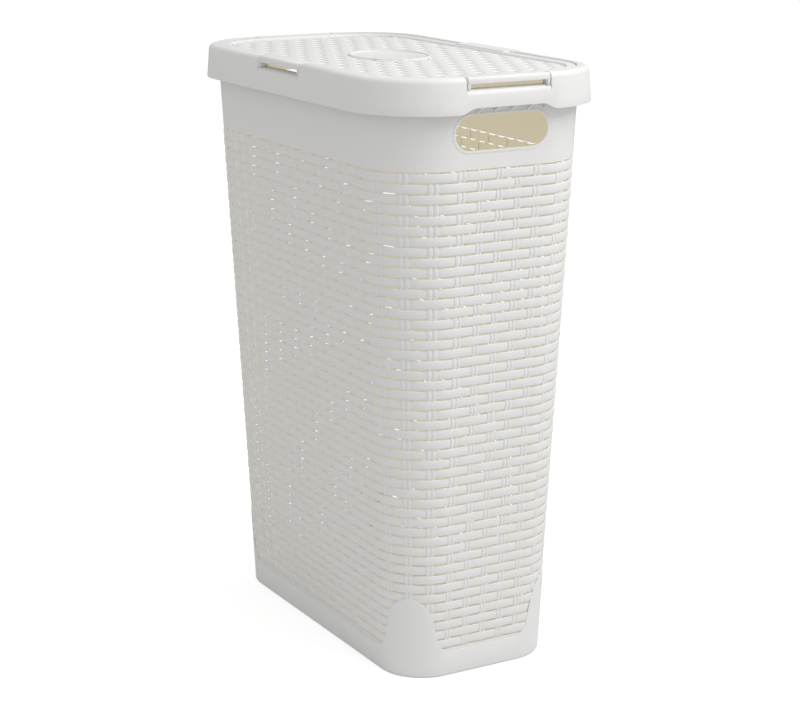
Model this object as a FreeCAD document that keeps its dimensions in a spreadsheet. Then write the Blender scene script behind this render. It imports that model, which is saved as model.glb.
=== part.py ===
import FreeCAD, Part
import os
from math import acos, atan2, cos, hypot, pi, sin
import Sketcher
from FreeCAD import Vector

# Slim laundry hamper: a tapered tub with cut-out handles, a rolled rim with four finger notches, and a lid that
# turns on two stub pins in the back notch. X runs along the hamper, -Y is the front, +Z is up, and the origin is
# the middle of the base on the floor.

SIZES = [
    ("base_length", 367, "tub outside length at the floor"),
    ("base_width", 175, "tub outside width at the floor"),
    ("base_corner", 45.5, "tub corner radius at the floor"),
    ("mouth_length", 427, "tub outside length at the rim's top"),
    ("mouth_width", 233, "tub outside width at the rim's top"),
    ("mouth_corner", 69, "tub corner radius at the rim's top"),
    ("tub_height", 596, "floor to the rim's top"),
    ("wall", 2.2, "tub wall"),
    ("floor_lift", 6, "gap under the floor plate"),
    ("floor_thickness", 2.5, "floor plate"),
    ("band_height", 26, "plain band round the foot"),
    ("band_proud", 1.2, "how far the band stands out from the wall"),
    ("band_lift", 1.5, "the band's rounded foot stops this far above the floor"),
    ("lobe_height", 87, "top of the corner lobes"),
    ("lobe_run", 52, "how far a lobe's edge travels sideways from foot to top"),
    ("lobe_cove", 16.5, "radius of the hollow curve at a lobe's foot"),
    ("lobe_crown", 31, "radius of the round curve at a lobe's top"),
    ("rim_overhang", 8.8, "rim outside the tub wall, at the top"),
    ("skirt_flare", 2.7, "how much further out the skirt's lower edge is"),
    ("skirt_drop", 34, "height of the rim's skirt"),
    ("skirt_wall", 2, "skirt wall"),
    ("web_thickness", 2.2, "top of the rim"),
    ("rim_round", 6, "round outer edge of the rim"),
    ("notch_depth", 11.5, "finger notches below the rim's top"),
    ("long_notch", 103, "notch on each long side"),
    ("short_notch", 92, "notch on each short side"),
    ("notch_end_wall", 2, "wall that closes the rim at a notch's end"),
    ("arch_rise", 5.5, "raised edge of the skirt above a handle"),
    ("arch_flat", 70, "level part of that arch"),
    ("arch_span", 108, "whole width of that arch"),
    ("handle_length", 101, "cut-out handle, overall"),
    ("handle_height", 33, "cut-out handle, overall"),
    ("handle_drop", 17.7, "handle's middle below the skirt's edge"),
    ("lip_width", 2.5, "raised lip round the handle"),
    ("lip_proud", 0.9, "height of that lip"),
    ("gusset_pitch", 15, "spacing of the ribs above a handle"),
    ("gusset_thickness", 1.5, "one rib"),
    ("lid_gap", 0.8, "clearance between the lid's flange and the tub wall"),
    ("border_recess", 1, "top of the lid's border below the rim's top"),
    ("border_width", 9, "smooth border of the lid"),
    ("border_thickness", 4.2, "smooth border of the lid"),
    ("border_round", 1.2, "rounded edges of the border"),
    ("flange_depth", 8.8, "flange below the border"),
    ("flange_wall", 1.8, "flange"),
    ("panel_recess", 2, "panel below the border's top"),
    ("panel_thickness", 2.2, "woven panel"),
    ("oval_length", 97, "oval plate"),
    ("oval_width", 78, "oval plate"),
    ("oval_rise", 1.4, "oval plate's rim above the panel"),
    ("oval_rim", 2.5, "width of the oval plate's rim"),
    ("tab_thickness", 3, "hooked tabs, top and front"),
    ("tab_hook", 8, "height of a tab's front"),
    ("tab_seat", 7, "how far a tab lies on the border"),
    ("tab_proud", 0.7, "a tab's front beyond the rim's upper edge"),
    ("tab_end_gap", 5.5, "gap between a tab and its notch's end"),
    ("tab_round", 1.2, "rounded outer edges of a tab"),
    ("leg_width", 3, "leg at each end of a tab"),
    ("leg_inset", 0.5, "a leg's inner end inside the tub mouth's outside"),
    ("leg_clearance", 0.3, "leg above the notch's ledge"),
    ("pin_diameter", 4, "hinge stub pins"),
    ("pin_clearance", 0.1, "radial clearance of a pin in its bore"),
    ("pin_inset", 4.8, "pin axis inside the rim's upper edge"),
    ("pin_drop", 4.5, "pin axis below the rim's top"),
    ("pin_tail", 1, "pin beyond the inside of the notch's end wall"),
]
GUSSETS_PER_HANDLE = 6

doc = FreeCAD.newDocument("laundry_hamper")
sheet = doc.addObject("Spreadsheet::Sheet", "sizes")
for row, (alias, number, note) in enumerate(SIZES, start=1):
    sheet.set(f"A{row}", alias)
    sheet.set(f"B{row}", str(number))
    sheet.set(f"C{row}", note)
    sheet.setAlias(f"B{row}", alias)
doc.recompute()


def value(expression):
    """The number that an expression on the sheet stands for."""
    return float(sheet.evalExpression(expression))


# ---- outlines of the tub, the rim and the lid, as expressions at any height ----


def tub_outline(height, outward="0"):
    """Half length, half width and corner radius of the tub at a height, moved outward by an offset."""
    share = f"({height}) / sizes.tub_height"
    half_x = f"(sizes.base_length + (sizes.mouth_length - sizes.base_length) * {share}) / 2 + ({outward})"
    half_y = f"(sizes.base_width + (sizes.mouth_width - sizes.base_width) * {share}) / 2 + ({outward})"
    corner = f"sizes.base_corner + (sizes.mouth_corner - sizes.base_corner) * {share} + ({outward})"
    return half_x, half_y, corner


def rim_outline(height, outward="0"):
    """Outside of the rim's skirt at a height: it flares slightly towards its lower edge."""
    flare = f"sizes.skirt_flare * (sizes.tub_height - ({height})) / sizes.skirt_drop"
    reach = f"sizes.rim_overhang + {flare} + ({outward})"
    half_x = f"sizes.mouth_length / 2 + {reach}"
    half_y = f"sizes.mouth_width / 2 + {reach}"
    corner = f"sizes.mouth_corner + {reach}"
    return half_x, half_y, corner


def lid_outline(inward="0"):
    """Outside of the lid's border and flange: it clears the tub wall where the flange ends."""
    return tub_outline(FLANGE_FOOT, f"-sizes.wall - sizes.lid_gap - ({inward})")


SKIRT_FOOT = "sizes.tub_height - sizes.skirt_drop"
WEB_UNDERSIDE = "sizes.tub_height - sizes.web_thickness"
LEDGE = "sizes.tub_height - sizes.notch_depth"
LEDGE_UNDERSIDE = f"{LEDGE} - sizes.web_thickness"
HANDLE_MIDDLE = f"{SKIRT_FOOT} - sizes.handle_drop"
BORDER_TOP = "sizes.tub_height - sizes.border_recess"
BORDER_UNDERSIDE = f"{BORDER_TOP} - sizes.border_thickness"
FLANGE_FOOT = f"{BORDER_UNDERSIDE} - sizes.flange_depth"
PANEL_TOP = f"{BORDER_TOP} - sizes.panel_recess"
PANEL_UNDERSIDE = f"{PANEL_TOP} - sizes.panel_thickness"
TAB_TOP = f"{BORDER_TOP} + sizes.tab_thickness"
TAB_FOOT = f"{TAB_TOP} - sizes.tab_hook"
LEG_FOOT = f"{LEDGE} + sizes.leg_clearance"
PIN_HEIGHT = "sizes.tub_height - sizes.pin_drop"
RIM_EDGE_X, RIM_EDGE_Y, _ = rim_outline("sizes.tub_height")
TAB_FACE_X = f"{RIM_EDGE_X} + sizes.tab_proud"
TAB_FACE_Y = f"{RIM_EDGE_Y} + sizes.tab_proud"
PIN_Y = f"{RIM_EDGE_Y} - sizes.pin_inset"
LONG_TAB_HALF = "sizes.long_notch / 2 - sizes.tab_end_gap"
SHORT_TAB_HALF = "sizes.short_notch / 2 - sizes.tab_end_gap"
LID_EDGE_X, LID_EDGE_Y, _ = lid_outline()


# ---- helpers: bodies, sketches and features whose sizes are bound to the sheet ----


def new_body(name):
    body = doc.addObject("PartDesign::Body", name)
    body.Label = name
    return body


def origin_plane(body, role):
    return next(item for item in body.Origin.OriginFeatures if item.Role == role)


def new_sketch(body, name, role="XY_Plane", offset="0"):
    """A sketch on one of the body's origin planes, moved off it along the plane's normal."""
    sketch = body.newObject("Sketcher::SketchObject", name)
    sketch.AttachmentSupport = (origin_plane(body, role), [""])
    sketch.MapMode = "FlatFace"
    sketch.setExpression("AttachmentOffset.Base.z", offset)
    return sketch


def bind(sketch, kind, *elements, to):
    """A driving constraint whose value follows an expression."""
    index = sketch.addConstraint(Sketcher.Constraint(kind, *elements, value(to)))
    sketch.setExpression(f"Constraints[{index}]", to)


def line(sketch, start, end):
    return sketch.addGeometry(Part.LineSegment(Vector(*start, 0), Vector(*end, 0)), False)


def arc(sketch, centre, radius, first, last):
    circle = Part.Circle(Vector(*centre, 0), Vector(0, 0, 1), radius)
    return sketch.addGeometry(Part.ArcOfCircle(circle, first, last), False)


def rounded_rectangle(sketch, half_x, half_y, corner):
    """Four sides and four corner arcs about the sketch's origin."""
    x, y, r = value(half_x), value(half_y), value(corner)
    quarter = pi / 2
    right = line(sketch, (x, r - y), (x, y - r))
    first = arc(sketch, (x - r, y - r), r, 0, quarter)
    top = line(sketch, (x - r, y), (r - x, y))
    second = arc(sketch, (r - x, y - r), r, quarter, 2 * quarter)
    left = line(sketch, (-x, y - r), (-x, r - y))
    third = arc(sketch, (r - x, r - y), r, 2 * quarter, 3 * quarter)
    bottom = line(sketch, (r - x, -y), (x - r, -y))
    fourth = arc(sketch, (x - r, r - y), r, 3 * quarter, 4 * quarter)
    loop = [right, first, top, second, left, third, bottom, fourth]
    for here, following in zip(loop, loop[1:] + loop[:1]):
        sketch.addConstraint(Sketcher.Constraint("Tangent", here, 2, following, 1))
    for side in (right, left):
        sketch.addConstraint(Sketcher.Constraint("Vertical", side))
    for side in (top, bottom):
        sketch.addConstraint(Sketcher.Constraint("Horizontal", side))
    for other in (second, third, fourth):
        sketch.addConstraint(Sketcher.Constraint("Equal", first, other))
    bind(sketch, "Radius", first, to=corner)
    bind(sketch, "DistanceX", -1, 1, right, 1, to=half_x)
    bind(sketch, "DistanceX", left, 1, -1, 1, to=half_x)
    bind(sketch, "DistanceY", -1, 1, top, 1, to=half_y)
    bind(sketch, "DistanceY", bottom, 1, -1, 1, to=half_y)


def rectangle(sketch, low_x, high_x, low_y, high_y):
    """A box between two positions each way, measured from the sketch's origin."""
    x0, x1, y0, y1 = (value(edge) for edge in (low_x, high_x, low_y, high_y))
    bottom = line(sketch, (x0, y0), (x1, y0))
    right = line(sketch, (x1, y0), (x1, y1))
    top = line(sketch, (x1, y1), (x0, y1))
    left = line(sketch, (x0, y1), (x0, y0))
    loop = [bottom, right, top, left]
    for here, following in zip(loop, loop[1:] + loop[:1]):
        sketch.addConstraint(Sketcher.Constraint("Coincident", here, 2, following, 1))
    for side in (bottom, top):
        sketch.addConstraint(Sketcher.Constraint("Horizontal", side))
    for side in (right, left):
        sketch.addConstraint(Sketcher.Constraint("Vertical", side))
    bind(sketch, "DistanceX", -1, 1, bottom, 1, to=low_x)
    bind(sketch, "DistanceX", -1, 1, bottom, 2, to=high_x)
    bind(sketch, "DistanceY", -1, 1, bottom, 1, to=low_y)
    bind(sketch, "DistanceY", -1, 1, top, 1, to=high_y)


def slot(sketch, length, height, middle):
    """A level slot with round ends, centred across the sketch at a height."""
    radius = value(height) / 2
    reach = value(length) / 2 - radius
    centre = value(middle)
    quarter = pi / 2
    right = arc(sketch, (reach, centre), radius, -quarter, quarter)
    top = line(sketch, (reach, centre + radius), (-reach, centre + radius))
    left = arc(sketch, (-reach, centre), radius, quarter, 3 * quarter)
    bottom = line(sketch, (-reach, centre - radius), (reach, centre - radius))
    loop = [right, top, left, bottom]
    for here, following in zip(loop, loop[1:] + loop[:1]):
        sketch.addConstraint(Sketcher.Constraint("Tangent", here, 2, following, 1))
    sketch.addConstraint(Sketcher.Constraint("Horizontal", top))
    sketch.addConstraint(Sketcher.Constraint("Equal", right, left))
    bind(sketch, "Radius", right, to=f"({height}) / 2")
    bind(sketch, "DistanceX", -1, 1, right, 3, to=f"(({length}) - ({height})) / 2")
    bind(sketch, "DistanceX", left, 3, -1, 1, to=f"(({length}) - ({height})) / 2")
    bind(sketch, "DistanceY", -1, 1, right, 3, to=middle)


def oval(sketch, length, width):
    """An ellipse about the sketch's origin, its long axis along X."""
    half_x, half_y = value(length) / 2, value(width) / 2
    ellipse = sketch.addGeometry(Part.Ellipse(Vector(0, 0, 0), half_x, half_y), False)
    sketch.exposeInternalGeometry(ellipse)
    major, minor = ellipse + 1, ellipse + 2
    sketch.addConstraint(Sketcher.Constraint("Coincident", ellipse, 3, -1, 1))
    sketch.addConstraint(Sketcher.Constraint("Horizontal", major))
    bind(sketch, "Distance", major, 1, major, 2, to=length)
    bind(sketch, "Distance", minor, 1, minor, 2, to=width)


def level(body, name, outline, height):
    """A sketch of one rounded outline at a height."""
    sketch = new_sketch(body, name, offset=height)
    rounded_rectangle(sketch, *outline)
    return sketch


def loft(body, name, lower, upper, cut=False):
    """Material, or a hollow, between two level outlines."""
    kind = "PartDesign::SubtractiveLoft" if cut else "PartDesign::AdditiveLoft"
    feature = body.newObject(kind, name)
    feature.Profile = lower
    feature.Sections = [upper]
    feature.Ruled = True
    return feature


def pad(body, name, sketch, length, midplane=False):
    feature = body.newObject("PartDesign::Pad", name)
    feature.Profile = sketch
    feature.setExpression("Length", length)
    feature.Midplane = midplane
    return feature


def pocket(body, name, sketch, length, midplane=False, reversed_way=False):
    feature = body.newObject("PartDesign::Pocket", name)
    feature.Profile = sketch
    feature.setExpression("Length", length)
    feature.Midplane = midplane
    feature.Reversed = reversed_way
    return feature


def round_edges(body, name, base, radius, chosen):
    """A fillet on the edges that a test picks out by their place."""
    doc.recompute()
    edges = [f"Edge{i}" for i, edge in enumerate(base.Shape.Edges, start=1) if chosen(edge)]
    feature = body.newObject("PartDesign::Fillet", name)
    feature.Base = (base, edges)
    feature.setExpression("Radius", radius)
    return feature


def near(number, expression, tolerance=0.05):
    return abs(number - value(expression)) < tolerance


def lies_level_at(edge, height):
    """True for an edge that lies in one level plane."""
    box = edge.BoundBox
    return near(box.ZMin, height) and near(box.ZMax, height)


# ---- the tub ----


def notch_rectangles(sketch, ends_inside="0"):
    """The four notches in plan: each runs from inside the tub to beyond the rim."""
    beyond = "2 * sizes.rim_overhang"
    half_long = f"sizes.long_notch / 2 - ({ends_inside})"
    half_short = f"sizes.short_notch / 2 - ({ends_inside})"
    inner_x = "sizes.mouth_length / 2 - 2 * sizes.rim_overhang"
    inner_y = "sizes.mouth_width / 2 - 2 * sizes.rim_overhang"
    outer_x = f"{RIM_EDGE_X} + {beyond}"
    outer_y = f"{RIM_EDGE_Y} + {beyond}"
    rectangle(sketch, f"-({half_long})", half_long, inner_y, outer_y)
    rectangle(sketch, f"-({half_long})", half_long, f"-({outer_y})", f"-({inner_y})")
    rectangle(sketch, inner_x, outer_x, f"-({half_short})", half_short)
    rectangle(sketch, f"-({outer_x})", f"-({inner_x})", f"-({half_short})", half_short)


def make_tub_wall():
    body = new_body("tub_wall")
    foot = level(body, "wall_foot", tub_outline("0"), "0")
    mouth = level(body, "wall_mouth", tub_outline("sizes.tub_height"), "sizes.tub_height")
    loft(body, "wall_outside", foot, mouth)
    inner_foot = level(body, "inside_foot", tub_outline("0", "-sizes.wall"), "0")
    inner_mouth = level(body, "inside_mouth", tub_outline("sizes.tub_height", "-sizes.wall"), "sizes.tub_height")
    loft(body, "wall_inside", inner_foot, inner_mouth, cut=True)
    holes = new_sketch(body, "handle_outline", "YZ_Plane")
    slot(holes, "sizes.handle_length", "sizes.handle_height", HANDLE_MIDDLE)
    pocket(body, "handle_holes", holes, "sizes.mouth_length", midplane=True)
    notches = new_sketch(body, "wall_notch_plan", offset="sizes.tub_height")
    notch_rectangles(notches)
    pocket(body, "wall_notches", notches, "sizes.notch_depth")
    return body


def make_tub_floor():
    body = new_body("tub_floor")
    top_height = "sizes.floor_lift + sizes.floor_thickness"
    under = level(body, "floor_under", tub_outline("sizes.floor_lift", "-sizes.wall"), "sizes.floor_lift")
    over = level(body, "floor_over", tub_outline(top_height, "-sizes.wall"), top_height)
    loft(body, "floor_plate", under, over)
    return body


def chain(sketch, path):
    """Join pieces end to end. Each entry is the piece, the ends it is entered and left by, and how it meets the
    piece that follows."""
    for (here, _, leave, meeting), (following, enter, _, _) in zip(path, path[1:] + path[:1]):
        sketch.addConstraint(Sketcher.Constraint(meeting, here, leave, following, enter))


def mirror_points(sketch, pairs):
    """Make pairs of points mirror each other across the sketch's upright axis."""
    for right, right_end, left, left_end in pairs:
        sketch.addConstraint(Sketcher.Constraint("Symmetric", right, right_end, left, left_end, -2))


def lobe_window(sketch, half_side):
    """The opening between two corner lobes: level foot, then a cove, a steep side and a crown on each side."""
    foot, top = value("sizes.band_height"), value("sizes.lobe_height")
    cove, crown = value("sizes.lobe_cove"), value("sizes.lobe_crown")
    foot_reach = f"{half_side} - sizes.lobe_run"
    near_x, far_x = value(foot_reach), value(half_side)
    cove_middle, crown_middle = Vector(near_x, foot + cove, 0), Vector(far_x, top - crown, 0)
    between = crown_middle - cove_middle
    lean = acos((cove + crown) / between.Length) + atan2(between.y, between.x)
    turn = lean - pi / 2
    cove_end = cove_middle + Vector(cos(turn), sin(turn), 0) * cove
    crown_end = crown_middle - Vector(cos(turn), sin(turn), 0) * crown
    above = top + crown
    bottom = line(sketch, (-near_x, foot), (near_x, foot))
    right_cove = arc(sketch, cove_middle[:2], cove, -pi / 2, turn)
    right_side = line(sketch, cove_end[:2], crown_end[:2])
    right_crown = arc(sketch, crown_middle[:2], crown, pi / 2, turn + pi)
    right_riser = line(sketch, (far_x, top), (far_x, above))
    lintel = line(sketch, (far_x, above), (-far_x, above))
    left_riser = line(sketch, (-far_x, above), (-far_x, top))
    left_crown = arc(sketch, (-far_x, top - crown), crown, -turn, pi / 2)
    left_side = line(sketch, (-crown_end.x, crown_end.y), (-cove_end.x, cove_end.y))
    left_cove = arc(sketch, (-near_x, foot + cove), cove, pi - turn, 3 * pi / 2)
    path = [
        (bottom, 1, 2, "Tangent"),
        (right_cove, 1, 2, "Tangent"),
        (right_side, 1, 2, "Tangent"),
        (right_crown, 2, 1, "Coincident"),
        (right_riser, 1, 2, "Coincident"),
        (lintel, 1, 2, "Coincident"),
        (left_riser, 1, 2, "Coincident"),
        (left_crown, 2, 1, "Tangent"),
        (left_side, 1, 2, "Tangent"),
        (left_cove, 1, 2, "Tangent"),
    ]
    chain(sketch, path)
    mirror_points(sketch, [(bottom, 2, bottom, 1), (right_riser, 1, left_riser, 2)])
    sketch.addConstraint(Sketcher.Constraint("Vertical", right_riser))
    sketch.addConstraint(Sketcher.Constraint("Vertical", left_riser))
    sketch.addConstraint(Sketcher.Constraint("Horizontal", lintel))
    sketch.addConstraint(Sketcher.Constraint("Vertical", right_crown, 3, right_crown, 1))
    sketch.addConstraint(Sketcher.Constraint("Equal", right_crown, left_crown))
    sketch.addConstraint(Sketcher.Constraint("Equal", right_cove, left_cove))
    sketch.addConstraint(Sketcher.Constraint("Vertical", left_crown, 3, left_crown, 2))
    bind(sketch, "Radius", right_cove, to="sizes.lobe_cove")
    bind(sketch, "Radius", right_crown, to="sizes.lobe_crown")
    bind(sketch, "DistanceX", -1, 1, bottom, 2, to=foot_reach)
    bind(sketch, "DistanceY", -1, 1, bottom, 2, to="sizes.band_height")
    bind(sketch, "DistanceX", -1, 1, right_riser, 1, to=half_side)
    bind(sketch, "DistanceY", -1, 1, right_riser, 1, to="sizes.lobe_height")
    bind(sketch, "DistanceY", -1, 1, lintel, 1, to="sizes.lobe_height + sizes.lobe_crown")


def make_base_band():
    body = new_body("base_band")
    foot = level(body, "band_foot", tub_outline("sizes.band_lift", "sizes.band_proud"), "sizes.band_lift")
    top = level(body, "band_top", tub_outline("sizes.lobe_height", "sizes.band_proud"), "sizes.lobe_height")
    loft(body, "band_outside", foot, top)
    wall_foot = level(body, "band_wall_foot", tub_outline("0"), "0")
    wall_mouth = level(body, "band_wall_mouth", tub_outline("sizes.tub_height"), "sizes.tub_height")
    loft(body, "band_inside", wall_foot, wall_mouth, cut=True)
    short_window = new_sketch(body, "short_side_window", "YZ_Plane")
    lobe_window(short_window, "sizes.base_width / 2")
    pocket(body, "short_side_opening", short_window, "2 * sizes.base_length", midplane=True)
    long_window = new_sketch(body, "long_side_window", "XZ_Plane")
    lobe_window(long_window, "sizes.base_length / 2")
    pocket(body, "long_side_opening", long_window, "2 * sizes.base_width", midplane=True)
    return body


def make_handle_lip(side, sign):
    """The raised lip round one handle hole: a ring that follows the wall's outside."""
    body = new_body(f"handle_lip_{side}")
    low = f"{HANDLE_MIDDLE} - sizes.handle_height"
    high = f"{HANDLE_MIDDLE} + sizes.handle_height"
    lower = level(body, f"lip_{side}_low", tub_outline(low, "sizes.lip_proud"), low)
    upper = level(body, f"lip_{side}_high", tub_outline(high, "sizes.lip_proud"), high)
    loft(body, f"lip_{side}_outside", lower, upper)
    wall_foot = level(body, f"lip_{side}_wall_foot", tub_outline("0"), "0")
    wall_mouth = level(body, f"lip_{side}_wall_mouth", tub_outline("sizes.tub_height"), "sizes.tub_height")
    loft(body, f"lip_{side}_inside", wall_foot, wall_mouth, cut=True)
    hole = new_sketch(body, f"lip_{side}_hole", "YZ_Plane")
    slot(hole, "sizes.handle_length", "sizes.handle_height", HANDLE_MIDDLE)
    pocket(body, f"lip_{side}_opening", hole, "2 * sizes.mouth_length", midplane=True)
    around = new_sketch(body, f"lip_{side}_edge", "YZ_Plane")
    slot(
        around,
        "sizes.handle_length + 2 * sizes.lip_width",
        "sizes.handle_height + 2 * sizes.lip_width",
        HANDLE_MIDDLE,
    )
    width, height = "sizes.mouth_width", "3 * sizes.handle_height"
    rectangle(around, f"-({width})", width, f"{HANDLE_MIDDLE} - {height}", f"{HANDLE_MIDDLE} + {height}")
    pocket(body, f"lip_{side}_trim", around, "2 * sizes.mouth_length", midplane=True)
    other_end = new_sketch(body, f"lip_{side}_other_end", "YZ_Plane")
    rectangle(other_end, f"-({width})", width, f"{HANDLE_MIDDLE} - {height}", f"{HANDLE_MIDDLE} + {height}")
    pocket(body, f"lip_{side}_only", other_end, "sizes.mouth_length", reversed_way=sign < 0)
    return body


def skirt_arch(sketch):
    """The raised stretch of the skirt's edge above a handle, blended into the level edge by two arcs a side."""
    foot, top = value(SKIRT_FOOT), value(f"{SKIRT_FOOT} + sizes.arch_rise")
    far_x, near_x = value("sizes.arch_span / 2"), value("sizes.arch_flat / 2")
    turn = 2 * atan2(top - foot, far_x - near_x)
    radius = (far_x - near_x) / sin(turn) / 2
    below = foot - (top - foot)
    bottom = line(sketch, (-far_x, below), (far_x, below))
    right_riser = line(sketch, (far_x, below), (far_x, foot))
    right_cove = arc(sketch, (far_x, foot + radius), radius, 3 * pi / 2 - turn, 3 * pi / 2)
    right_crown = arc(sketch, (near_x, top - radius), radius, pi / 2 - turn, pi / 2)
    level_edge = line(sketch, (near_x, top), (-near_x, top))
    left_crown = arc(sketch, (-near_x, top - radius), radius, pi / 2, pi / 2 + turn)
    left_cove = arc(sketch, (-far_x, foot + radius), radius, -pi / 2, turn - pi / 2)
    left_riser = line(sketch, (-far_x, foot), (-far_x, below))
    path = [
        (bottom, 1, 2, "Coincident"),
        (right_riser, 1, 2, "Coincident"),
        (right_cove, 2, 1, "Tangent"),
        (right_crown, 1, 2, "Tangent"),
        (level_edge, 1, 2, "Tangent"),
        (left_crown, 1, 2, "Tangent"),
        (left_cove, 2, 1, "Coincident"),
        (left_riser, 1, 2, "Coincident"),
    ]
    chain(sketch, path)
    mirror_points(sketch, [(level_edge, 1, level_edge, 2), (right_riser, 2, left_riser, 1)])
    for riser in (right_riser, left_riser):
        sketch.addConstraint(Sketcher.Constraint("Vertical", riser))
    sketch.addConstraint(Sketcher.Constraint("Horizontal", bottom))
    sketch.addConstraint(Sketcher.Constraint("Vertical", right_cove, 3, right_riser, 2))
    sketch.addConstraint(Sketcher.Constraint("Vertical", left_cove, 3, left_riser, 1))
    sketch.addConstraint(Sketcher.Constraint("Equal", right_cove, right_crown))
    bind(sketch, "DistanceX", -1, 1, right_riser, 2, to="sizes.arch_span / 2")
    bind(sketch, "DistanceX", -1, 1, level_edge, 1, to="sizes.arch_flat / 2")
    bind(sketch, "DistanceY", -1, 1, right_riser, 2, to=SKIRT_FOOT)
    bind(sketch, "DistanceY", -1, 1, level_edge, 1, to=f"{SKIRT_FOOT} + sizes.arch_rise")
    bind(sketch, "DistanceY", -1, 1, bottom, 1, to=f"{SKIRT_FOOT} - sizes.arch_rise")


def circle(sketch, across, up, diameter):
    """A circle at a place in an upright sketch."""
    outline = Part.Circle(Vector(value(across), value(up), 0), Vector(0, 0, 1), value(diameter) / 2)
    index = sketch.addGeometry(outline, False)
    bind(sketch, "Diameter", index, to=diameter)
    bind(sketch, "DistanceX", -1, 1, index, 3, to=across)
    bind(sketch, "DistanceY", -1, 1, index, 3, to=up)


def on_outline(point, outline, tolerance=0.2):
    """True for a point that lies on a rounded outline, seen from above."""
    half_x, half_y, corner = (value(part) for part in outline)
    past_x = max(abs(point.x) - (half_x - corner), 0)
    past_y = max(abs(point.y) - (half_y - corner), 0)
    return abs(hypot(past_x, past_y) - corner) < tolerance


def is_rim_outer_edge(edge):
    """The rim's upper outer edge, or the outer edge of a notch's ledge."""
    middle = edge.valueAt((edge.FirstParameter + edge.LastParameter) / 2)
    heights = ("sizes.tub_height", LEDGE)
    return any(lies_level_at(edge, height) and on_outline(middle, rim_outline(height)) for height in heights)


def make_rim_solid():
    """The rim without its hollow: rounded outside, notches, arches above the handles and the pin bores."""
    body = new_body("rim_solid")
    lower = level(body, "rim_foot", rim_outline(SKIRT_FOOT), SKIRT_FOOT)
    upper = level(body, "rim_edge", rim_outline("sizes.tub_height"), "sizes.tub_height")
    loft(body, "rim_outside", lower, upper)
    notches = new_sketch(body, "rim_notch_plan", offset="sizes.tub_height")
    notch_rectangles(notches)
    notched = pocket(body, "rim_notches", notches, "sizes.notch_depth")
    round_edges(body, "rim_rounding", notched, "sizes.rim_round", is_rim_outer_edge)
    wall_foot = level(body, "rim_wall_foot", tub_outline("0"), "0")
    wall_mouth = level(body, "rim_wall_mouth", tub_outline("sizes.tub_height"), "sizes.tub_height")
    loft(body, "rim_inside", wall_foot, wall_mouth, cut=True)
    arch = new_sketch(body, "arch_outline", "YZ_Plane")
    skirt_arch(arch)
    pocket(body, "skirt_arches", arch, "2 * sizes.mouth_length", midplane=True)
    bores = new_sketch(body, "pin_bore_outline", "YZ_Plane")
    circle(bores, PIN_Y, PIN_HEIGHT, "sizes.pin_diameter + 2 * sizes.pin_clearance")
    pocket(body, "pin_bores", bores, "sizes.long_notch + 4 * sizes.notch_end_wall", midplane=True)
    return body


def make_rim_hollow():
    """The hollow between skirt and wall. It stops short of the notches, which leaves their ledges and end walls."""
    body = new_body("rim_hollow")
    foot_height = f"{SKIRT_FOOT} - sizes.arch_rise"
    lower = level(body, "hollow_foot", rim_outline(foot_height, "-sizes.skirt_wall"), foot_height)
    upper = level(body, "hollow_top", rim_outline(WEB_UNDERSIDE, "-sizes.skirt_wall"), WEB_UNDERSIDE)
    loft(body, "hollow_inside", lower, upper)
    notches = new_sketch(body, "hollow_notch_plan", offset=WEB_UNDERSIDE)
    notch_rectangles(notches, "-sizes.notch_end_wall")
    pocket(body, "hollow_notches", notches, f"({WEB_UNDERSIDE}) - ({LEDGE_UNDERSIDE})")
    return body


def make_rim_collar():
    collar = doc.addObject("Part::Cut", "rim_collar")
    collar.Label = "rim_collar"
    collar.Base = make_rim_solid()
    collar.Tool = make_rim_hollow()
    return collar


def make_rim_gussets():
    """Thin upright ribs between the wall and the skirt above each handle, as a group."""
    body = new_body("rim_gussets")
    foot_height = f"{SKIRT_FOOT} + sizes.arch_rise"
    lower = level(body, "gusset_foot", rim_outline(foot_height, "-sizes.skirt_wall"), foot_height)
    upper = level(body, "gusset_top", rim_outline(LEDGE_UNDERSIDE, "-sizes.skirt_wall"), LEDGE_UNDERSIDE)
    loft(body, "gusset_outside", lower, upper)
    wall_foot = level(body, "gusset_wall_foot", tub_outline("0"), "0")
    wall_mouth = level(body, "gusset_wall_mouth", tub_outline("sizes.tub_height"), "sizes.tub_height")
    loft(body, "gusset_inside", wall_foot, wall_mouth, cut=True)
    gaps = new_sketch(body, "gusset_gaps", offset=foot_height)
    far = "sizes.mouth_length"
    half = GUSSETS_PER_HANDLE / 2 - 0.5
    edge = "sizes.gusset_thickness / 2"
    for gap in range(GUSSETS_PER_HANDLE - 1):
        low = f"{gap - half} * sizes.gusset_pitch + {edge}"
        high = f"{gap + 1 - half} * sizes.gusset_pitch - {edge}"
        rectangle(gaps, f"-({far})", far, low, high)
    last = f"{half} * sizes.gusset_pitch + {edge}"
    beyond = "sizes.mouth_width"
    rectangle(gaps, f"-({far})", far, last, beyond)
    rectangle(gaps, f"-({far})", far, f"-({beyond})", f"-({last})")
    depth = f"({LEDGE_UNDERSIDE}) - ({foot_height})"
    pocket(body, "between_gussets", gaps, depth, reversed_way=True)
    return body


# ---- the lid ----


def make_lid_panel():
    body = new_body("lid_panel")
    plan = new_sketch(body, "panel_plan", offset=PANEL_UNDERSIDE)
    rounded_rectangle(plan, *lid_outline("sizes.border_width"))
    pad(body, "panel_plate", plan, "sizes.panel_thickness")
    opening = new_sketch(body, "panel_oval", offset=PANEL_TOP)
    oval(opening, "sizes.oval_length", "sizes.oval_width")
    pocket(body, "panel_opening", opening, "sizes.panel_thickness")
    return body


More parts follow.
